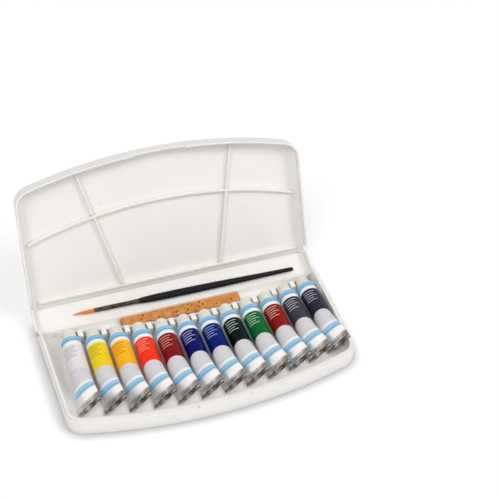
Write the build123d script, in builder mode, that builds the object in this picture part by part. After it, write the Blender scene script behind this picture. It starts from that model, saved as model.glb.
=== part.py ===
"""Watercolor paint box: a moulded case with a palette lid, twelve tubes, a brush and a sponge.

The origin is the centre of the tray's underside.  +X runs to the right along the row of
tubes, +Y towards the hinges and +Z up.  The case stands open, as it is used.
"""
from build123d import *
from math import cos, radians, sin, sqrt, tan
import os

os.makedirs("parts", exist_ok=True)

# Case outline, shared by the tray and the lid
row_margin = 11.9
front_room = 12.3
side_draft = 0.05
front_radius = 436.0
front_corner = 16.0
edge_round = 1.2

# Tray
floor_thickness = 1.8
tray_height = 16.0
ledge_width = 1.8
ledge_drop = 2.0
lip_width = 2.4
tray_wall_draft = 4.0
rear_wall_height = 8.0
rear_wall_thickness = 1.5
tab_width = 44.0
tab_clearance = 0.4

# Living hinges and the strip between them
plate_thickness = 1.8
closed_height = 27.0
bead_radius = 0.5
bead_clearance = 0.06
web_thickness = 0.6
web_length = 1.9
hinge_end_margin = 3.0
spine_angle = 24.0
spine_end_wall = 2.0
spine_end_height = 9.0
spine_end_round = 7.0
nest_clearance = 0.3

# Lid palette
lid_angle = 75.0
lid_wall = 1.6
lid_rim_height = 6.5
lid_slope = 50.0
lid_close_gap = 0.2
rib_height = 3.8
rib_width = 1.8
rib_left_x = 71.0
rib_right_x = 64.0
rib_rear_x = 45.5
cross_rib_depth = 83.5
rear_rib_depth = 8.5
pip_radius = 1.0
pip_height = 0.5
pip_places = ((-53.5, 89.0), (97.0, 105.0))

# Row of tubes
tube_count = 12
row_shift = 4.5
row_radius = 427.0
tube_radius = 8.5
tube_lift = 0.05
barrel_length = 42.0
taper_length = 26.0
crimp_width = 24.6
crimp_gap = 0.11
crimp_length = 8.0
crimp_thickness = 1.6
crimp_roll = 43.0
crimp_rise = 0.9
fold_thickness = 2.2
fold_start = 2.6
fold_groove = 0.25
fold_groove_width = 0.6
shoulder_length = 2.2
shoulder_land = 0.8
nozzle_radius = 3.4
nozzle_length = 8.0

# Screw caps
cap_radius = 6.1
cap_top_radius = 5.6
cap_edge = 0.5
cap_collar = 1.2
cap_length = 10.0
cap_clearance = 0.06
cap_seat_gap = 0.1
cap_flutes = 16
flute_radius = 0.45

# Comb that parts the caps
comb_height = 9.5
comb_thickness = 1.6
comb_gap = 2.0
post_width = 4.4
post_reach = 8.0
post_height = 11.0

# Brush, lying on the hinge strip
brush_span = 208.0
brush_end_margin = 17.5
brush_tip_rise = 12.6
brush_end_rise = 9.2
handle_radius = 3.4
handle_end_radius = 1.9
handle_belly = 24.0
handle_neck_radius = 2.3
stub_radius = 1.75
stub_length = 12.0
stub_gap = 0.4
fit_clearance = 0.03
ferrule_length = 40.0
ferrule_radius = 2.1
ferrule_mouth_radius = 1.9
ferrule_wall = 0.25
ring_radius = 0.3
ring_places = (33.0, 55.0, 57.5)
hair_length = 20.0
hair_plug = 3.0
brush_seat_gap = 0.3
hair_point = 12.0
strand_rings = 10
strand_pitch = 0.152
strand_radius = 0.075
strand_root = 1.0

# Sponge behind the comb
sponge_length = 110.0
sponge_shift = -2.0
sponge_depth = 12.0
sponge_height = 5.0
sponge_round = 1.2
sponge_edge = 0.7
sponge_gap = 0.35
sponge_comb_gap = 0.8

# Places worked out from the sizes
roll_cos = cos(radians(crimp_roll))
roll_sin = sin(radians(crimp_roll))
tube_pitch = crimp_width * roll_cos + fold_thickness * roll_sin + crimp_gap
row_half = (tube_count - 1) / 2 * tube_pitch
tail_length = barrel_length + taper_length
axis_z = floor_thickness + tube_radius + tube_lift
lap = ledge_width + lip_width
inner_face = plate_thickness - bead_radius
wall_flare = (tray_height - floor_thickness) * tan(radians(tray_wall_draft))
rear_wall_depth = inner_face + nest_clearance
rear_wall_inner_depth = rear_wall_depth + rear_wall_thickness
sponge_rear_depth = rear_wall_inner_depth + wall_flare + sponge_gap
sponge_reach = sponge_length / 2 + abs(row_shift - sponge_shift)
comb_rear_depth = (
    sponge_rear_depth
    + sponge_depth
    + sponge_comb_gap
    + row_radius
    - sqrt(row_radius ** 2 - sponge_reach ** 2)
)
comb_reach = shoulder_length + cap_length + comb_gap
row_depth = comb_rear_depth + comb_thickness + comb_reach
case_width = tube_count * tube_pitch + 2 * row_margin
case_depth = row_depth + tail_length + crimp_length + front_room + lap
rear_y = case_depth / 2
half_width = case_width / 2
hinge_reach = closed_height - 2 * bead_radius
spine_rad = radians(spine_angle)
lid_rad = radians(lid_angle)
lid_hinge_y = rear_y + hinge_reach * cos(spine_rad)
lid_hinge_z = bead_radius + hinge_reach * sin(spine_rad)
lid_rim_z = closed_height - (tray_height - ledge_drop) - lid_close_gap - bead_radius

tray_plane = Plane(origin=(0, rear_y, bead_radius), x_dir=(-1, 0, 0), z_dir=(0, 0, 1))
spine_plane = Plane(
    origin=(0, rear_y, bead_radius),
    x_dir=(1, 0, 0),
    z_dir=(0, -sin(spine_rad), cos(spine_rad)),
)
lid_plane = Plane(
    origin=(0, lid_hinge_y, lid_hinge_z),
    x_dir=(1, 0, 0),
    z_dir=(0, -sin(lid_rad), cos(lid_rad)),
)


def corner_depth(inset):
    """How far from the hinge axis the side meets the bowed front, for an inset outline."""
    radius = front_radius - inset
    centre = case_depth - front_radius
    half = half_width - inset
    a = side_draft ** 2 + 1
    b = half * side_draft + centre
    c = half ** 2 + centre ** 2 - radius ** 2
    return (b + sqrt(b ** 2 - a * c)) / a


def case_outline(inset, start):
    """Outline of the case, `inset` inside its edge, from `start` off the hinge axis to the front."""
    depth = corner_depth(inset)
    corner_x = half_width - inset - side_draft * depth
    start_x = half_width - inset - side_draft * start
    with BuildSketch(mode=Mode.PRIVATE) as outline:
        with BuildLine():
            Polyline((-corner_x, depth), (-start_x, start), (start_x, start), (corner_x, depth))
            ThreePointArc((corner_x, depth), (0, case_depth - inset), (-corner_x, depth))
        make_face()
        fillet(outline.vertices().sort_by(Axis.Y)[-2:], front_corner - inset)
    return outline.sketch


def side_x(depth, inset):
    """Half the width of the case at one depth, less an inset."""
    return half_width - inset - side_draft * depth


def row_y(x):
    """The bowed line that the shoulders of the tubes follow, at distance x from the row's middle."""
    return rear_y - row_depth + row_radius - sqrt(row_radius ** 2 - x ** 2)


def tube_x(index):
    """Distance of one tube from the row's middle."""
    return (index - (tube_count - 1) / 2) * tube_pitch


def save(part, name):
    """Name one finished piece and write it."""
    part.label = name
    export_step(part, f"parts/{name}.step")


# Tray: an open moulding with a stepped rim, a low rear wall and the comb for the caps
nest_depth = inner_face + spine_end_height + nest_clearance
nest_width = spine_end_wall + nest_clearance
post_middle = comb_reach + comb_thickness / 2 - post_reach / 2
comb_end = row_half + tube_pitch / 2
comb_end_y = row_y(comb_end) + comb_reach
comb_mid_y = row_y(0) + comb_reach
row_plane = Plane(origin=(row_shift, 0, floor_thickness))

with BuildPart() as tray_shell:
    with BuildSketch(tray_plane.offset(-bead_radius)):
        add(case_outline(0, rear_wall_depth))
    extrude(amount=tray_height)
    under = tray_shell.faces().sort_by(Axis.Z)[0]
    fillet(under.edges().sort_by(Axis.Y)[:-1], edge_round)
    # The lid's wall drops over the lip, so the edge outside the lip is lower, except at the tab
    with BuildSketch(tray_plane.offset(tray_height - bead_radius)):
        add(case_outline(-1, 0))
        add(case_outline(ledge_width, -1), mode=Mode.SUBTRACT)
        with Locations((0, case_depth)):
            Rectangle(tab_width, 4 * front_corner, mode=Mode.SUBTRACT)
    extrude(amount=-ledge_drop, mode=Mode.SUBTRACT)
    with BuildSketch(tray_plane.offset(tray_height - bead_radius)):
        add(case_outline(lap, rear_wall_inner_depth))
    extrude(amount=floor_thickness - tray_height, taper=tray_wall_draft, mode=Mode.SUBTRACT)
    # The rear wall is low, and the strip's end walls close into the rear corners
    with BuildSketch(tray_plane.offset(rear_wall_height - bead_radius)):
        with Locations((0, (rear_wall_inner_depth + wall_flare) / 2)):
            Rectangle(case_width + 2, rear_wall_inner_depth + wall_flare + 1)
    extrude(amount=tray_height, mode=Mode.SUBTRACT)
    with BuildSketch(tray_plane.offset(floor_thickness - bead_radius)):
        for side in (-1, 1):
            with Locations((side * side_x(0, nest_width / 2), nest_depth / 2)):
                Rectangle(nest_width, nest_depth + 0.01)
    extrude(amount=tray_height, mode=Mode.SUBTRACT)
    # Web and half-round cup of the living hinge
    with BuildSketch(tray_plane.offset(-web_thickness / 2)):
        with Locations((0, rear_wall_depth / 2)):
            Rectangle(2 * side_x(0, hinge_end_margin), rear_wall_depth)
    extrude(amount=web_thickness)
    with Locations(tray_plane.location):
        Cylinder(
            bead_radius + bead_clearance,
            case_width,
            rotation=(0, 90, 0),
            mode=Mode.SUBTRACT,
        )
    # Comb: a bowed wall behind the caps and a post between each pair of them
    with BuildSketch(row_plane):
        with BuildLine():
            Polyline((-comb_end, comb_end_y), (-comb_end, comb_end_y + comb_thickness))
            ThreePointArc(
                (-comb_end, comb_end_y + comb_thickness),
                (0, comb_mid_y + comb_thickness),
                (comb_end, comb_end_y + comb_thickness),
            )
            Polyline((comb_end, comb_end_y + comb_thickness), (comb_end, comb_end_y))
            ThreePointArc((comb_end, comb_end_y), (0, comb_mid_y), (-comb_end, comb_end_y))
        make_face()
    extrude(amount=comb_height - floor_thickness)
    with BuildSketch(row_plane):
        for index in range(tube_count - 1):
            post_x = tube_x(index) + tube_pitch / 2
            with Locations((post_x, row_y(post_x) + post_middle)):
                Rectangle(post_width, post_reach)
    extrude(amount=post_height - floor_thickness)
save(tray_shell.part, "tray_shell")


# Hinge strip: the back of the closed case, with a bead along each living hinge
with BuildPart() as hinge_spine:
    strip_length = hinge_reach - 2 * web_length
    with BuildSketch(spine_plane.offset(-bead_radius)):
        with Locations((0, hinge_reach / 2)):
            Rectangle(case_width, strip_length)
    extrude(amount=plate_thickness)
    # End walls with a rounded lid end
    with BuildSketch(spine_plane.offset(-bead_radius)):
        for side in (-1, 1):
            with Locations((side * side_x(0, spine_end_wall / 2), hinge_reach / 2)):
                Rectangle(spine_end_wall, strip_length)
    extrude(amount=plate_thickness + spine_end_height)
    fillet(hinge_spine.edges().filter_by(Axis.X).group_by(Axis.Z)[-1], spine_end_round)
    with BuildSketch(spine_plane.offset(-web_thickness / 2)):
        with Locations((0, hinge_reach / 2)):
            Rectangle(2 * side_x(0, hinge_end_margin), hinge_reach)
    extrude(amount=web_thickness)
    for reach in (0, hinge_reach):
        with Locations(spine_plane.location * Location((0, reach, 0))):
            Cylinder(bead_radius, 2 * side_x(0, hinge_end_margin), rotation=(0, 90, 0))
save(hinge_spine.part, "hinge_spine")


# Lid: a mixing palette with sloped walls, whose ribs part it into six wells
cross_radius = front_radius - (case_depth - cross_rib_depth)
cross_end = side_x(cross_rib_depth, lap)
cross_end_depth = cross_rib_depth - cross_radius + sqrt(cross_radius ** 2 - cross_end ** 2)
front_centre = case_depth - lap - front_radius
rib_left_depth = front_centre + sqrt(front_radius ** 2 - rib_left_x ** 2)
rib_right_depth = front_centre + sqrt(front_radius ** 2 - rib_right_x ** 2)

with BuildPart() as lid_palette:
    with BuildSketch(lid_plane.offset(-bead_radius)):
        add(case_outline(0, web_length))
    extrude(amount=lid_rim_z + bead_radius)
    back = lid_palette.faces().sort_by(Axis(lid_plane.origin, lid_plane.z_dir))[0]
    fillet(back.edges().sort_by(Axis.Z)[1:], edge_round)
    with BuildSketch(lid_plane.offset(lid_rim_z)):
        add(case_outline(lid_wall, -case_depth))
    extrude(amount=-lid_rim_height, mode=Mode.SUBTRACT)
    with BuildSketch(lid_plane.offset(lid_rim_z - lid_rim_height)):
        add(case_outline(lid_wall, -case_depth))
    extrude(
        amount=inner_face - lid_rim_z + lid_rim_height,
        taper=lid_slope,
        mode=Mode.SUBTRACT,
    )
    # The wall is shorter over the tray's tab
    with BuildSketch(lid_plane.offset(lid_rim_z)):
        with Locations((0, case_depth)):
            Rectangle(tab_width + 2 * tab_clearance, 2 * lap)
    extrude(amount=-ledge_drop, mode=Mode.SUBTRACT)
    # Ribs between the wells
    with BuildSketch(lid_plane.offset(inner_face)):
        with BuildLine():
            Line((-cross_end, rear_rib_depth), (cross_end, rear_rib_depth))
            Line((-rib_rear_x, rear_rib_depth), (-rib_left_x, rib_left_depth))
            Line((rib_rear_x, rear_rib_depth), (rib_right_x, rib_right_depth))
            ThreePointArc(
                (-cross_end, cross_end_depth),
                (0, cross_rib_depth),
                (cross_end, cross_end_depth),
            )
        trace(line_width=rib_width)
    extrude(amount=rib_height)
    # Marks where the mould was filled
    with BuildSketch(lid_plane.offset(inner_face)):
        with Locations(*pip_places):
            Circle(pip_radius)
    extrude(amount=pip_height)
    # Room for the end walls of the hinge strip, and the web and cup of the hinge
    with BuildSketch(lid_plane.offset(inner_face)):
        for side in (-1, 1):
            with Locations((side * side_x(0, nest_width / 2), nest_depth / 2)):
                Rectangle(nest_width + 1, nest_depth)
    extrude(amount=closed_height, mode=Mode.SUBTRACT)
    with BuildSketch(lid_plane.offset(-web_thickness / 2)):
        with Locations((0, web_length / 2)):
            Rectangle(2 * side_x(0, hinge_end_margin), web_length)
    extrude(amount=web_thickness)
    with Locations(lid_plane.location):
        Cylinder(
            bead_radius + bead_clearance,
            case_width,
            rotation=(0, 90, 0),
            mode=Mode.SUBTRACT,
        )
save(lid_palette.part, "lid_palette")


bore_wall = nozzle_radius + cap_clearance

# Tubes: a soft metal barrel pressed flat at the tail, where it is folded and crimped
for index in range(tube_count):
    offset_x = tube_x(index)
    shoulder = (row_shift + offset_x, row_y(offset_x), axis_z)
    barrel_plane = Plane(origin=shoulder, x_dir=(1, 0, 0), z_dir=(0, -1, 0))
    rolled_plane = Plane(origin=shoulder, x_dir=(roll_cos, 0, roll_sin), z_dir=(0, -1, 0))
    tail_plane = Plane(
        origin=(shoulder[0], shoulder[1] - tail_length, axis_z + crimp_rise),
        x_dir=(roll_cos, 0, roll_sin),
        z_dir=(0, -1, 0),
    )
    with BuildPart() as tube_body:
        with BuildSketch(rolled_plane):
            Circle(tube_radius)
        extrude(amount=barrel_length)
        with BuildSketch(rolled_plane.offset(barrel_length)):
            Circle(tube_radius)
        with BuildSketch(tail_plane):
            Ellipse(crimp_width / 2, crimp_thickness / 2)
        loft()
        with BuildSketch(tail_plane):
            RectangleRounded(crimp_width, crimp_thickness, crimp_thickness / 2.5)
        extrude(amount=crimp_length)
        # The end is folded over on itself, and the crimping jaws leave a groove along the fold
        with BuildSketch(tail_plane.offset(fold_start)):
            RectangleRounded(crimp_width, fold_thickness, fold_thickness / 2.5)
        extrude(amount=crimp_length - fold_start)
        groove_start = (crimp_length + fold_start - fold_groove_width) / 2
        with BuildSketch(tail_plane.offset(groove_start)):
            Rectangle(crimp_width + 1, fold_thickness + 1)
            Rectangle(crimp_width + 2, fold_thickness - 2 * fold_groove, mode=Mode.SUBTRACT)
        extrude(amount=fold_groove_width, mode=Mode.SUBTRACT)
        with BuildSketch(barrel_plane):
            Circle(tube_radius)
        with BuildSketch(barrel_plane.offset(-shoulder_length)):
            Circle(nozzle_radius + shoulder_land)
        loft()
        with BuildSketch(barrel_plane.offset(-shoulder_length)):
            Circle(nozzle_radius)
        extrude(amount=-nozzle_length)
    save(tube_body.part, f"tube_body_{index + 1:02d}")

    # Screw cap, with its bore over the nozzle and flutes to grip
    cap_plane = Plane(
        origin=(shoulder[0], shoulder[1] + shoulder_length + cap_seat_gap, axis_z),
        x_dir=(-1, 0, 0),
        z_dir=(0, 1, 0),
    )
    cap_profile = Plane(origin=cap_plane.origin, x_dir=(1, 0, 0), z_dir=(0, 0, 1))
    with BuildPart() as tube_cap:
        with BuildSketch(cap_profile):
            Polygon(
                (bore_wall, 0),
                (cap_radius, 0),
                (cap_top_radius, cap_length - cap_edge),
                (cap_top_radius - cap_edge, cap_length),
                (0, cap_length),
                (0, nozzle_length + cap_seat_gap),
                (bore_wall, nozzle_length + cap_seat_gap),
                align=None,
            )
        revolve(axis=Axis(origin=cap_plane.origin, direction=cap_plane.z_dir))
        with BuildSketch(cap_plane.offset(cap_collar)):
            with PolarLocations(cap_radius, cap_flutes):
                Circle(flute_radius)
        extrude(amount=cap_length, mode=Mode.SUBTRACT)
    save(tube_cap.part, f"tube_cap_{index + 1:02d}")


# Brush: a lacquered handle, a crimped metal ferrule and a round pointed head of hair
spine_normal = Vector(0, -sin(spine_rad), cos(spine_rad))
spine_along = Vector(0, cos(spine_rad), sin(spine_rad))
brush_end_x = half_width - brush_end_margin
brush_height = inner_face + handle_radius + brush_seat_gap
brush_tip = (
    Vector(brush_end_x - brush_span, rear_y, bead_radius)
    + spine_along * brush_tip_rise
    + spine_normal * brush_height
)
brush_end = (
    Vector(brush_end_x, rear_y, bead_radius)
    + spine_along * brush_end_rise
    + spine_normal * brush_height
)
brush_way = (brush_end - brush_tip).normalized()
brush_length = (brush_end - brush_tip).length
brush_axis = Axis(origin=brush_tip, direction=brush_way)
brush_profile = Plane(
    origin=brush_tip,
    x_dir=spine_normal,
    z_dir=spine_normal.cross(brush_way),
)
root_plane = Plane(origin=brush_tip + brush_way * hair_length, x_dir=spine_normal, z_dir=brush_way)
ferrule_end = hair_length + ferrule_length
bore_radius = ferrule_mouth_radius - ferrule_wall
socket_radius = stub_radius + fit_clearance
stub_start = ferrule_end - stub_length
handle_start = ferrule_end + fit_clearance
handle_end = brush_length - handle_end_radius

with BuildPart() as brush_handle:
    with BuildSketch(brush_profile):
        with BuildLine():
            Polyline(
                (0, brush_length),
                (0, stub_start),
                (stub_radius, stub_start),
                (stub_radius, handle_start),
                (handle_neck_radius, handle_start),
            )
            Spline(
                (handle_neck_radius, handle_start),
                (handle_radius, handle_start + handle_belly),
                (handle_end_radius, handle_end),
                tangents=((0.12, 1), (-0.01, 1)),
            )
            ThreePointArc(
                (handle_end_radius, handle_end),
                (handle_end_radius * sqrt(0.5), handle_end + handle_end_radius * sqrt(0.5)),
                (0, brush_length),
            )
        make_face()
    revolve(axis=brush_axis)
save(brush_handle.part, "brush_handle")

with BuildPart() as brush_ferrule:
    with BuildSketch(brush_profile):
        Polygon(
            (bore_radius, hair_length),
            (ferrule_mouth_radius, hair_length),
            (ferrule_radius, ferrule_end),
            (socket_radius, ferrule_end),
            (socket_radius, stub_start - stub_gap),
            (bore_radius, hair_length + 2 * hair_plug),
            align=None,
        )
        # Crimp rings
        with Locations(*[(ferrule_radius, place) for place in ring_places]):
            Circle(ring_radius)
    revolve(axis=brush_axis)
save(brush_ferrule.part, "brush_ferrule")

# Hair: parallel strands in rings, shorter towards the outside, on a slice of their glued root
strands = []
for ring in range(strand_rings + 1):
    ring_radius_out = ring * strand_pitch
    reach = hair_length - hair_point * (ring / strand_rings) ** 1.25
    with BuildSketch(root_plane.offset(strand_root), mode=Mode.PRIVATE) as ring_sketch:
        with PolarLocations(ring_radius_out, max(1, 6 * ring)):
            RegularPolygon(strand_radius, 3)
    strands += extrude(ring_sketch.sketch, amount=-reach - strand_root, mode=Mode.PRIVATE).solids()
with BuildPart() as brush_bristles:
    with BuildSketch(root_plane.offset(strand_root / 2)):
        Circle(bore_radius - fit_clearance)
    extrude(amount=hair_plug)
    add(strands)
save(brush_bristles.part, "brush_bristles")


# Sponge: a block of cellulose sponge, laid between the comb and the rear wall
with BuildPart() as sponge:
    with BuildSketch(Plane.XY.offset(floor_thickness + sponge_gap)):
        with Locations((sponge_shift, rear_y - sponge_rear_depth - sponge_depth / 2)):
            RectangleRounded(sponge_length, sponge_depth, sponge_round)
    extrude(amount=sponge_height)
    fillet(sponge.faces().sort_by(Axis.Z)[-1].edges(), sponge_edge)
save(sponge.part, "sponge")
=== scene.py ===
"""Watercolor paint box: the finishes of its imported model, with the sponge and the brush's hair."""

import random
from math import cos, pi, radians, sin

import bmesh
import bpy
from mathutils import Matrix, Vector, kdtree, noise


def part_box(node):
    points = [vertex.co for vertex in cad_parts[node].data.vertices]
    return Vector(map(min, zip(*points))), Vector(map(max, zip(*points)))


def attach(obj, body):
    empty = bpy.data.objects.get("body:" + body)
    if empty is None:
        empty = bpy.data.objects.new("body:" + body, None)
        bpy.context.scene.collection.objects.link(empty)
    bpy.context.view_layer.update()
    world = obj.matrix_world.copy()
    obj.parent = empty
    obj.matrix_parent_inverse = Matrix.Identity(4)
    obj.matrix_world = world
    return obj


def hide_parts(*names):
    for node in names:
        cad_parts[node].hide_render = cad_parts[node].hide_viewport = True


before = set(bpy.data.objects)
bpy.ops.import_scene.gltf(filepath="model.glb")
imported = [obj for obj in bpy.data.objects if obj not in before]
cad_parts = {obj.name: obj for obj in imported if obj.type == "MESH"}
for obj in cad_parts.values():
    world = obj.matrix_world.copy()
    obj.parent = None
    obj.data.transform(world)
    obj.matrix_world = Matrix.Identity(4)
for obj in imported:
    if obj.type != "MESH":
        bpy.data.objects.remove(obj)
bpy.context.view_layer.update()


# The case: tray, hinge strip and palette lid, injection moulded in white polypropylene, which
# bends at the two thin hinge lines without breaking.  The mould was polished, so the faces are
# glossy with a faint waviness, and every outer edge is a little rounded.  Its inner corners,
# rib feet and grooves get a warm darker tint, which is painted shade.
class Tone:
    """A value or colour that a material works out over a surface, ready to take part in sums."""

    def __init__(self, finish, socket):
        self.finish = finish
        self.socket = socket

    def worked(self, operation, *others, clamp=False):
        settings = {"operation": operation, "use_clamp": clamp}
        return self.finish.node("ShaderNodeMath", settings, dict(enumerate((self, *others))))

    def __add__(self, other):
        return self.worked("ADD", other)

    def __mul__(self, other):
        return self.worked("MULTIPLY", other)

    def __sub__(self, other):
        return self.worked("SUBTRACT", other)

    def __rsub__(self, other):
        return self * -1 + other

    __radd__ = __add__
    __rmul__ = __mul__

    def past(self, place, blur):
        """1 where the value has passed a place, 0 before it, with an edge as wide as the blur."""
        return ((self - place) * (1 / blur)).worked("ADD", 0.5, clamp=True)

    def within(self, start, end, blur):
        """1 between two places and 0 elsewhere."""
        return self.past(start, blur) * (1 - self.past(end, blur))


class Finish:
    """A procedural material and the nodes that make it."""

    def __init__(self, name, **steady):
        self.material = bpy.data.materials.new(name)
        self.material.use_nodes = True
        self.tree = self.material.node_tree
        self.shader = self.tree.nodes["Principled BSDF"]
        self.give(**steady)

    def node(self, kind, settings, sockets, out=0):
        """One node: its settings are set first, then the values or links of its sockets."""
        made = self.tree.nodes.new(kind)
        for name, value in settings.items():
            setattr(made, name, value)
        for place, value in sockets.items():
            self.feed(made.inputs[place], value)
        return Tone(self, made.outputs[out])

    def feed(self, socket, value):
        if isinstance(value, Tone):
            self.tree.links.new(value.socket, socket)
        else:
            socket.default_value = value

    def give(self, **parts):
        """Sets or links the shader's own sockets."""
        for name, value in parts.items():
            self.feed(self.shader.inputs[name.replace("_", " ")], value)

    def place(self, centre=(0, 0, 0), turn=(0, 0, 0), scale=(1000, 1000, 1000)):
        """Coordinates on the piece in millimetres, with a point of the model as their centre."""
        start = self.node("ShaderNodeTexCoord", {}, {}, "Object")
        shift = [-c * s for c, s in zip(centre, scale)]
        moved = {"Vector": start, "Location": shift, "Rotation": turn, "Scale": scale}
        return self.node("ShaderNodeMapping", {"vector_type": "POINT"}, moved)

    def clouds(self, where, size, detail=2.0):
        """Soft irregular patches of about one size in millimetres."""
        sockets = {"Vector": where, "Scale": 1 / size, "Detail": detail}
        return self.node("ShaderNodeTexNoise", {}, sockets)

    def mixed(self, first, second, share):
        """A colour between two, by a share from 0 to 1."""
        sockets = {0: share, 6: first, 7: second}
        return self.node("ShaderNodeMix", {"data_type": "RGBA"}, sockets, 2)

    def relief(self, height, depth, strength=1.0, **base):
        """A normal from a height, whose 1 stands `depth` metres out."""
        return self.node(
            "ShaderNodeBump", {}, {"Height": height, "Distance": depth, "Strength": strength, **base}
        )

    def rounded(self, radius):
        """A normal that rounds sharp edges, as a mould does."""
        return self.node("ShaderNodeBevel", {"samples": 4}, {"Radius": radius})

    def painted_crease_shade(self, reach):
        """1 in the inner corners of a piece, where little light gets in, and 0 on its open faces; it
        places painted shade there.
        """
        kept = {"samples": 8, "only_local": True}
        return 1 - self.node("ShaderNodeAmbientOcclusion", kept, {"Distance": reach}, "AO")

    def cover(self, *names):
        """Puts the material on every slot of these nodes or pieces."""
        for name in names:
            slots = bpy.data.objects[name].material_slots
            for slot in slots:
                slot.material = self.material


def dye(red, green, blue):
    """A colour as it is read from a screen, 0 to 255, for a shader's socket."""
    linear = [
        c / 12.92 if c <= 0.04045 else ((c + 0.055) / 1.055) ** 2.4
        for c in (red / 255, green / 255, blue / 255)
    ]
    return (*linear, 1.0)


case_white = dye(243, 241, 238)
case_shade = dye(239, 236, 232)
# The crease colour is painted shade: a warm darker tint for inner corners, rib feet and grooves, where
# little light gets in.
case_crease_shade = dye(214, 198, 172)
case_round = 0.0005
crease_shade_reach = 0.0016

case_plastic = Finish("case_plastic_white", Specular_IOR_Level=0.5, IOR=1.55)
on_case = case_plastic.place()
flow = case_plastic.clouds(on_case, 38.0)
grain = case_plastic.clouds(on_case, 0.9, 3.0)
case_colour = case_plastic.mixed(case_white, case_shade, flow.past(0.55, 0.5) * 0.6)
case_plastic.give(
    # Painted shade: the crease colour is mixed into the base colour wherever the occlusion mask finds an
    # inner corner.
    Base_Color=case_plastic.mixed(
        case_colour, case_crease_shade, case_plastic.painted_crease_shade(crease_shade_reach).past(0.5, 0.5)
    ),
    Roughness=0.24 + flow * 0.1 + grain * 0.04,
    Normal=case_plastic.relief(
        flow * 0.7 + grain * 0.02, 0.0006, 0.25, Normal=case_plastic.rounded(case_round)
    ),
)
case_plastic.cover("tray_shell", "hinge_spine", "lid_palette")


# The twelve tubes: soft aluminium, enamelled white and printed all round before they are
# filled, then pressed flat and folded at the tail.  From the cap down the print is a pale
# blue band, a block of the paint's colour and a bare arched field over a second blue band.
# Past the print the bare metal is browned, partly by tarnish and partly by painted shade along the fold.
paint_colours = (
    ("white", dye(236, 229, 231), dye(118, 116, 120)),
    ("lemon_yellow", dye(246, 214, 36), dye(104, 92, 30)),
    ("golden_yellow", dye(255, 187, 36), dye(150, 88, 20)),
    ("vermilion", dye(252, 54, 26), dye(255, 186, 168)),
    ("crimson", dye(134, 17, 22), dye(238, 186, 186)),
    ("ultramarine", dye(1, 15, 96), dye(206, 212, 240)),
    ("cerulean", dye(1, 26, 110), dye(170, 200, 240)),
    ("viridian", dye(1, 14, 11), dye(206, 226, 220)),
    ("sap_green", dye(2, 102, 48), dye(206, 236, 206)),
    ("burnt_sienna", dye(140, 24, 10), dye(240, 208, 196)),
    ("dark_grey", dye(63, 61, 73), dye(214, 214, 220)),
    ("indigo_black", dye(44, 41, 63), dye(208, 210, 226)),
)
enamel_white = dye(246, 245, 244)
enamel_field = dye(219, 217, 220)
band_pale = dye(158, 208, 236)
band_deep = dye(84, 150, 198)
bare_metal = dye(247, 244, 241)
# This brown serves both tarnish and painted shade on the folded tail.
tail_brown_tarnish_and_shade = dye(92, 70, 58)

# The shoulder lies this far in front of the cap's mouth, in metres
shoulder_gap = 0.0023
# Along the tube from its shoulder, and round it from the top, in millimetres
tube_radius = 8.5
band_start = 0.2
band_width = 5.8
colour_start = 9.6
arch_top = 37.0
arch_radius = 21.0
print_turn = -2.6
field_end = 52.2
lower_band = 54.8
lower_band_end = 60.2
upper_line = (1.3, 2.0)
upper_stripe = (3.4, 4.9)
lower_stripe = (lower_band_end - 2.2, lower_band_end - 0.9)
enamel_end = 60.8
shoulder_end = -0.6
dents_start = 46.0
flat_line = 68.0
fold_line = 70.6
groove_line = 73.0
pinline_left = -6.6
pinline_width = 0.8
pinlines = ((12.2, 4.6), (14.9, 2.8), (17.6, 5.0), (20.3, 1.4), (23.0, 3.6))

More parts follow.
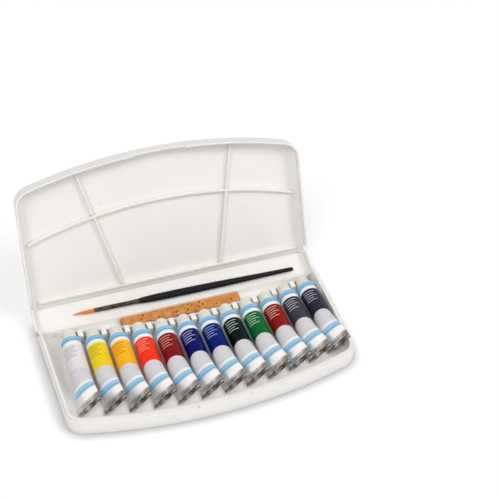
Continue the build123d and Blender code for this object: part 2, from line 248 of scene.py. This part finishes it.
for number, (paint, block, faint) in enumerate(paint_colours, start=1):
    name = f"tube_body_{number:02d}"
    cap_low, cap_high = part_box(f"tube_cap_{number:02d}")
    axis = (cap_low + cap_high) / 2
    print_finish = Finish(f"tube_print_{paint}", Specular_IOR_Level=0.09)
    on_tube = print_finish.place((axis.x, cap_low.y - shoulder_gap, axis.z), scale=(1000, -1000, 1000))
    parted = print_finish.tree.nodes.new("ShaderNodeSeparateXYZ")
    print_finish.feed(parted.inputs[0], on_tube)
    across, along, up = (Tone(print_finish, parted.outputs[i]) for i in range(3))
    round_it = across.worked("ARCTAN2", up) * tube_radius - print_turn

    bands = along.within(band_start, band_start + band_width, 0.15)
    lower = along.within(lower_band, lower_band_end, 0.15)
    lines = along.within(*upper_line, 0.2) + along.within(*upper_stripe, 0.3)
    lines = lines + along.within(*lower_stripe, 0.4) * 0.6
    arch_drop = (
        (arch_radius ** 2 - round_it * round_it).worked("MAXIMUM", 0.0).worked("SQRT") * -1
        + arch_radius
    )
    past_arch = (along - arch_drop).past(arch_top, 0.2)
    in_block = along.past(colour_start, 0.12) * (1 - past_arch)
    rules = 0
    for line_at, reach in pinlines:
        line = along.within(line_at, line_at + pinline_width, 0.25)
        rules = line * round_it.within(pinline_left, reach, 0.4) + rules
    spots = print_finish.clouds(on_tube, 0.5, 3.0)
    dents = print_finish.clouds(on_tube, 9.0, 1.0)
    bare = (along + (dents - 0.5) * 1.0).past(enamel_end, 0.4)
    shoulder = 1 - along.past(shoulder_end, 0.3)
    tail = bare.worked("MAXIMUM", shoulder)

    in_field = past_arch * (1 - along.past(field_end, 0.3))
    enamel = print_finish.mixed(enamel_white, enamel_field, in_field)
    colour = print_finish.mixed(enamel, block, in_block)
    colour = print_finish.mixed(colour, faint, in_block * rules * 0.7)
    colour = print_finish.mixed(colour, band_pale, bands + lower)
    colour = print_finish.mixed(colour, band_deep, lines * 0.8)
    streaks = print_finish.clouds(on_tube, 4.5, 5.0)
    worn = streaks.past(0.52, 0.3)
    wavy = along + (streaks - 0.5) * 1.6
    flat = along.past(flat_line, 0.5)
    # The tail's brown: random patches of tarnish; painted shade as dark lines along the flat and fold
    # lines and as darkening towards the raised right end; more brown past the groove line.
    tarnish_and_fold_shade = flat * (worn * 0.35 + across * 0.03 + 0.2)
    tarnish_and_fold_shade = tarnish_and_fold_shade + wavy.within(flat_line - 0.5, flat_line + 0.2, 0.5) * (0.2 + worn * 0.4)
    tarnish_and_fold_shade = tarnish_and_fold_shade + along.within(fold_line - 0.3, fold_line + 0.4, 0.4) * (0.5 + worn * 0.4)
    tarnish_and_fold_shade = tarnish_and_fold_shade + wavy.past(groove_line, 0.8) * (0.1 + worn * 0.35)
    metal = print_finish.mixed(bare_metal, tail_brown_tarnish_and_shade, tarnish_and_fold_shade.worked("MULTIPLY", 1.0, clamp=True))
    colour = print_finish.mixed(colour, metal, tail)
    print_finish.give(
        Base_Color=colour,
        Metallic=tail * 0.9,
        Roughness=0.3 - tail * 0.02 + spots * 0.08,
        Normal=print_finish.relief(
            dents * along.past(dents_start, 24.0) * 0.8 + streaks * flat * 0.6 + spots * 0.03, 0.0013, 0.6
        ),
    )
    print_finish.cover(name)


# The screw caps: off-white polyethylene, softer in shine than the case, with a flat top and
# flutes round the side to grip.
cap_white = dye(236, 233, 224)
cap_cream = dye(224, 218, 204)

cap_plastic = Finish("cap_plastic_off_white", Specular_IOR_Level=0.45)
on_cap = cap_plastic.place()
cap_mist = cap_plastic.clouds(on_cap, 6.0)
cap_grain = cap_plastic.clouds(on_cap, 0.35, 2.0)
cap_plastic.give(
    Base_Color=cap_plastic.mixed(cap_white, cap_cream, cap_mist.past(0.5, 0.4) * 0.7),
    Roughness=0.36 + cap_grain * 0.1,
    Normal=cap_plastic.relief(cap_grain, 0.00004, 0.5, Normal=cap_plastic.rounded(0.0003)),
)
cap_plastic.cover(*(f"tube_cap_{number:02d}" for number in range(1, 13)))


# The brush's handle and ferrule: turned wood in many coats of black lacquer, and a seamless
# tube of nickelled brass that is rolled onto it with three rings.
lacquer = Finish("black_lacquer", Specular_IOR_Level=0.1, Coat_Weight=0.3, Coat_Roughness=0.04)
on_handle = lacquer.place()
strokes = lacquer.clouds(on_handle, 5.0)
lacquer.give(
    Base_Color=lacquer.mixed(dye(8, 6, 11), dye(15, 13, 19), strokes),
    Roughness=0.16 + strokes * 0.08,
    Normal=lacquer.relief(strokes, 0.0002, 0.15),
)
lacquer.cover("brush_handle")

nickel = Finish("nickelled_ferrule", Metallic=1.0)
on_ferrule = nickel.place(scale=(4000, 400, 400))
turning = nickel.clouds(on_ferrule, 0.6, 3.0)
tarnish = nickel.clouds(nickel.place(), 4.0)
nickel.give(
    Base_Color=nickel.mixed(dye(104, 92, 76), dye(52, 43, 34), tarnish.past(0.5, 0.4)),
    Roughness=0.12 + turning * 0.12,
    Normal=nickel.relief(turning, 0.00005, 0.4),
)
nickel.cover("brush_ferrule")


# The brush's hair: a round bundle of fine orange-brown hair, glued in the ferrule, fullest a
# little above it and drawn to a point.
half_width = 0.12951
rear_y = 0.0649975
strip_tilt = radians(24.0)
brush_rise = 0.0050
tip_reach, end_reach = 0.0126, 0.0092
tip_x, end_x = half_width - 0.2255, half_width - 0.0175
hair_length = 0.020
hair_root = 0.0015
hair_rings = 11
hair_pitch = 0.000138
hair_radius = 0.000085
hair_steps = 9
hair_shortest = 0.93
outer_shortfall = 0.16
strand_taper = 0.75
belly = ((0.0, 1.0), (0.15, 1.16), (0.35, 1.2), (0.6, 0.86), (0.8, 0.48), (1.0, 0.06))

strip_up = Vector((0, cos(strip_tilt), sin(strip_tilt)))
strip_out = Vector((0, -sin(strip_tilt), cos(strip_tilt)))
strip_foot = Vector((0, rear_y, 0.0005)) + strip_out * brush_rise
hair_tip = strip_foot + strip_up * tip_reach + Vector((tip_x, 0, 0))
brush_end = strip_foot + strip_up * end_reach + Vector((end_x, 0, 0))
brush_way = (brush_end - hair_tip).normalized()


def fullness(share):
    """How full the bundle is at a share of the hair's length, 1 where it leaves the ferrule."""
    for (start, thick), (end, thin) in zip(belly, belly[1:]):
        if share <= end:
            return thick + (thin - thick) * (share - start) / (end - start)
    return belly[-1][1]


chance = random.Random(11)
hair_mesh = bmesh.new()
strand_of = hair_mesh.verts.layers.int.new("strand")
strands = []
for ring in range(hair_rings):
    for turn in range(max(1, 6 * ring)):
        angle = 2 * pi * turn / max(1, 6 * ring) + chance.uniform(-0.1, 0.1)
        from_axis = ring * hair_pitch
        foot = Vector((from_axis * cos(angle), from_axis * sin(angle), hair_length + hair_root))
        round_foot = bmesh.ops.create_circle(
            hair_mesh, segments=3, radius=hair_radius, matrix=Matrix.Translation(foot)
        )
        for corner in round_foot["verts"]:
            corner[strand_of] = len(strands)
        reach = chance.uniform(hair_shortest, 1.0) - outer_shortfall * (ring / hair_rings) ** 2
        strands.append((foot, reach))
edges = list(hair_mesh.edges)
for step in range(1, hair_steps + 1):
    grown = bmesh.ops.extrude_edge_only(hair_mesh, edges=edges)["geom"]
    corners = {v for v in grown if isinstance(v, bmesh.types.BMVert)}
    edges = [e for e in grown if isinstance(e, bmesh.types.BMEdge) and set(e.verts) <= corners]
    for corner in corners:
        foot, reach = strands[corner[strand_of]]
        last, now = ((step - 1) / hair_steps) * reach, (step / hair_steps) * reach
        old = Vector((foot.x, foot.y, 0)) * fullness(last)
        new = Vector((foot.x, foot.y, 0)) * fullness(now)
        old.z = foot.z - last * (hair_length + hair_root)
        new.z = foot.z - now * (hair_length + hair_root)
        slim = 1 - strand_taper * now ** 3
        was = 1 - strand_taper * last ** 3
        corner.co = new + (corner.co - old) * (slim / was)
bmesh.ops.holes_fill(hair_mesh, edges=hair_mesh.edges, sides=3)
bmesh.ops.recalc_face_normals(hair_mesh, faces=hair_mesh.faces)
# Points and faces are put strand by strand, so that they come in the same order every time
by_strand = sorted(hair_mesh.verts, key=lambda corner: (corner[strand_of], *corner.co))
for rank, corner in enumerate(by_strand):
    corner.index = rank
hair_mesh.verts.sort()
by_corners = sorted(hair_mesh.faces, key=lambda face: sorted(v.index for v in face.verts))
for rank, face in enumerate(by_corners):
    face.index = rank
hair_mesh.faces.sort()
across_way = strip_out.cross(brush_way)
to_brush = Matrix((strip_out, across_way, brush_way)).transposed().to_4x4()
bmesh.ops.transform(
    hair_mesh, matrix=Matrix.Translation(hair_tip) @ to_brush, verts=hair_mesh.verts
)


def piece_from(mesh, name, finish):
    """Turns a finished bmesh into a smooth-shaded piece at the origin."""
    for face in mesh.faces:
        face.smooth = True
    data = bpy.data.meshes.new(name)
    mesh.to_mesh(data)
    mesh.free()
    data.materials.append(finish.material)
    piece = bpy.data.objects.new(name, data)
    bpy.context.scene.collection.objects.link(piece)
    return piece


hair_finish = Finish("orange_hair", Specular_IOR_Level=0.35)
along_hair = hair_finish.place(hair_tip)
fibres = hair_finish.clouds(hair_finish.place(hair_tip, scale=(90, 5200, 5200)), 1.0, 2.0)
tipped = hair_finish.node("ShaderNodeSeparateXYZ", {}, {0: along_hair})
hair_colour = hair_finish.mixed(dye(250, 134, 42), dye(255, 184, 92), fibres.past(0.5, 0.35))
hair_finish.give(
    Base_Color=hair_finish.mixed(dye(228, 112, 36), hair_colour, tipped.past(2.5, 5.0)),
    Roughness=0.42 + fibres * 0.15,
    Normal=hair_finish.relief(fibres, 0.00004, 0.5),
)
hair = piece_from(hair_mesh, "brush_hair", hair_finish)
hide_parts("brush_bristles")
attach(hair, "brush")


# The sponge: a strip cut from a block of cellulose sponge, soft at its edges, with open pores
# of many sizes, which are darkened with painted shade.  It lies loose between the comb and the rear wall.
sponge_low, sponge_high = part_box("sponge")
sponge_cell = 0.0005
sponge_round = 0.0009
sponge_swell = 0.00022
pore_count = 430
pore_least = 0.0004
pore_range = 0.0011
pore_deepest = 0.0009
pore_shade_from = 0.0008

sponge_mesh = bmesh.new()
bmesh.ops.create_cube(sponge_mesh, size=1.0)
size = sponge_high - sponge_low
bmesh.ops.scale(sponge_mesh, vec=size, verts=sponge_mesh.verts)
bmesh.ops.translate(sponge_mesh, vec=(sponge_low + sponge_high) / 2, verts=sponge_mesh.verts)
for way in range(3):
    ruled = [e for e in sponge_mesh.edges if abs((e.verts[0].co - e.verts[1].co)[way]) > 1e-6]
    bmesh.ops.subdivide_edges(
        sponge_mesh, edges=ruled, cuts=round(size[way] / sponge_cell) - 1, use_grid_fill=True
    )
core_low = [c + sponge_round for c in sponge_low]
core_high = [c - sponge_round for c in sponge_high]
for point in sponge_mesh.verts:
    inner = Vector([min(max(c, a), b) for c, a, b in zip(point.co, core_low, core_high)])
    out = point.co - inner
    soft = sponge_round - sponge_swell * (0.6 + noise.noise(point.co * 160))
    point.co = inner + out.normalized() * soft
sponge_mesh.normal_update()
finder = kdtree.KDTree(len(sponge_mesh.verts))
for index, point in enumerate(sponge_mesh.verts):
    finder.insert(point.co, index)
finder.balance()
sponge_mesh.verts.ensure_lookup_table()
outward = [v.normal.copy() for v in sponge_mesh.verts]
pore_shade = sponge_mesh.verts.layers.float.new("pore_shade")
for pore in range(pore_count):
    seed = chance.randrange(len(sponge_mesh.verts))
    wide = pore_least + pore_range * chance.random() ** 4
    for place, index, gap in finder.find_range(sponge_mesh.verts[seed].co, wide):
        sunk = 1 - (gap / wide) ** 2
        point = sponge_mesh.verts[index]
        point.co -= outward[index] * sunk * min(wide, pore_deepest)
        # Painted shade: how deep and wide each pore sinks sets how dark its colour is made.
        point[pore_shade] = max(point[pore_shade], sunk * min(1.0, wide / pore_shade_from))
bmesh.ops.recalc_face_normals(sponge_mesh, faces=sponge_mesh.faces)

sponge_finish = Finish("cellulose_sponge", Specular_IOR_Level=0.2)
on_sponge = sponge_finish.place()
cells = sponge_finish.node(
    "ShaderNodeTexVoronoi", {"feature": "F1"}, {"Vector": on_sponge, "Scale": 1.1}
)
pore_shade_share = sponge_finish.node("ShaderNodeAttribute", {"attribute_name": "pore_shade"}, {}, "Fac")
crumbs = sponge_finish.clouds(on_sponge, 0.5, 4.0)
stain = sponge_finish.clouds(on_sponge, 7.0)
pore_holes_and_shade = 1 - cells.past(0.22, 0.16)
sponge_colour = sponge_finish.mixed(dye(222, 154, 84), dye(198, 124, 60), stain.past(0.5, 0.4))
sponge_colour = sponge_finish.mixed(sponge_colour, dye(234, 176, 108), crumbs.past(0.62, 0.2) * 0.6)
sponge_finish.give(
    # The pores, sunk and drawn, are painted a dark brown that stands for their shade.
    Base_Color=sponge_finish.mixed(
        sponge_colour, dye(92, 62, 34), (pore_holes_and_shade * 0.35).worked("MAXIMUM", pore_shade_share.past(0.45, 0.5))
    ),
    Roughness=0.85 + crumbs * 0.1,
    Normal=sponge_finish.relief(crumbs - pore_holes_and_shade * 0.6, 0.0004, 0.7),
)
sponge_piece = piece_from(sponge_mesh, "sponge_strip", sponge_finish)
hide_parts("sponge")
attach(sponge_piece, "sponge")


# Where it stands: a plain white studio sweep, with a broad lamp high on the right, another
# on the left, and a pale sky all round.  Round the case the sweep's colour turns grey, a painted contact
# shadow.
floor_size = 6.0
floor_drop = 0.00005
painted_shadow_reach = 0.010
painted_shadow_grey = dye(122, 122, 122)
glow_share = 0.35
glow_strength = 1.28
sky_level = 0.42

floor_finish = Finish("studio_floor", Roughness=0.9, Specular_IOR_Level=0.1)
speck = floor_finish.clouds(floor_finish.place(), 60.0)
open_floor = floor_finish.node(
    "ShaderNodeAmbientOcclusion", {"samples": 16}, {"Distance": painted_shadow_reach}, "AO"
)
floor_white = floor_finish.mixed(dye(254, 254, 254), dye(251, 251, 251), speck)
# Painted contact shadow: the floor colour turns grey where the occlusion mask finds the case close by.
floor_finish.give(
    Base_Color=floor_finish.mixed(
        floor_white, painted_shadow_grey, ((1 - open_floor) * 2).worked("MINIMUM", 1.0)
    )
)
seen = floor_finish.node("ShaderNodeLightPath", {}, {}, "Is Camera Ray")
glow = floor_finish.node("ShaderNodeEmission", {}, {"Color": (1, 1, 1, 1), "Strength": glow_strength})
plain = Tone(floor_finish, floor_finish.shader.outputs[0])
lit = floor_finish.node("ShaderNodeMixShader", {}, {0: seen * glow_share, 1: plain, 2: glow})
floor_finish.feed(floor_finish.tree.nodes["Material Output"].inputs["Surface"], lit)
floor_mesh = bmesh.new()
bmesh.ops.create_grid(floor_mesh, x_segments=2, y_segments=2, size=floor_size)
bmesh.ops.translate(floor_mesh, vec=(0, 0, -floor_drop), verts=floor_mesh.verts)
floor = piece_from(floor_mesh, "studio_floor", floor_finish)

sky = bpy.data.worlds.new("studio_sky")
sky.use_nodes = True
bpy.context.scene.world = sky
sky_nodes = sky.node_tree
ray = sky_nodes.nodes.new("ShaderNodeLightPath")
bright = ray.outputs["Is Camera Ray"]
for kind in ("Is Glossy Ray", "Is Transmission Ray"):
    either = sky_nodes.nodes.new("ShaderNodeMath")
    either.operation = "MAXIMUM"
    sky_nodes.links.new(bright, either.inputs[0])
    sky_nodes.links.new(ray.outputs[kind], either.inputs[1])
    bright = either.outputs[0]
level = sky_nodes.nodes.new("ShaderNodeMapRange")
level.inputs["To Min"].default_value = sky_level
level.inputs["To Max"].default_value = 1.0
sky_nodes.links.new(bright, level.inputs["Value"])
sky_nodes.nodes["Background"].inputs["Color"].default_value = (1, 1, 1, 1)
sky_nodes.links.new(level.outputs[0], sky_nodes.nodes["Background"].inputs["Strength"])

for lamp_name, side, lean, strength, spread in (
    ("right_lamp", 50.0, 46.0, 1.02, 0.45),
    ("left_lamp", -40.0, 40.0, 1.08, 0.5),
):
    lamp = bpy.data.lights.new(lamp_name, "SUN")
    lamp.energy, lamp.angle = strength, spread
    stand = bpy.data.objects.new(lamp_name, lamp)
    stand.rotation_euler = (radians(lean), 0, radians(side))
    bpy.context.scene.collection.objects.link(stand)


# The camera: to the left and above, at the angle of the photograph.
yaw, pitch, roll = 0.365, 0.765, 0.030
target = Vector((0.003, 0.0435, 0.0018))
target_in_view = Vector((-0.05297, 0.01791, 0.79565))
focal_pixels = 895.1
centre_row = 300.0
picture = 500

view_way = Vector((sin(yaw) * cos(pitch), cos(yaw) * cos(pitch), -sin(pitch)))
level_right = Vector((cos(yaw), -sin(yaw), 0))
level_up = level_right.cross(view_way)
right = level_right * cos(roll) + level_up * sin(roll)
top = level_up * cos(roll) - level_right * sin(roll)
lens = bpy.data.cameras.new("camera")
lens.sensor_width = 36.0
lens.lens = focal_pixels / picture * lens.sensor_width
lens.shift_y = centre_row / picture - 0.5
lens.clip_start, lens.clip_end = 0.01, 50.0
camera = bpy.data.objects.new("camera", lens)
eye = target - right * target_in_view.x + top * target_in_view.y - view_way * target_in_view.z
camera.matrix_world = (
    Matrix.Translation(eye) @ Matrix((right, top, -view_way)).transposed().to_4x4()
)
bpy.context.scene.collection.objects.link(camera)
bpy.context.scene.camera = camera
bpy.context.scene.view_settings.view_transform = "Standard"
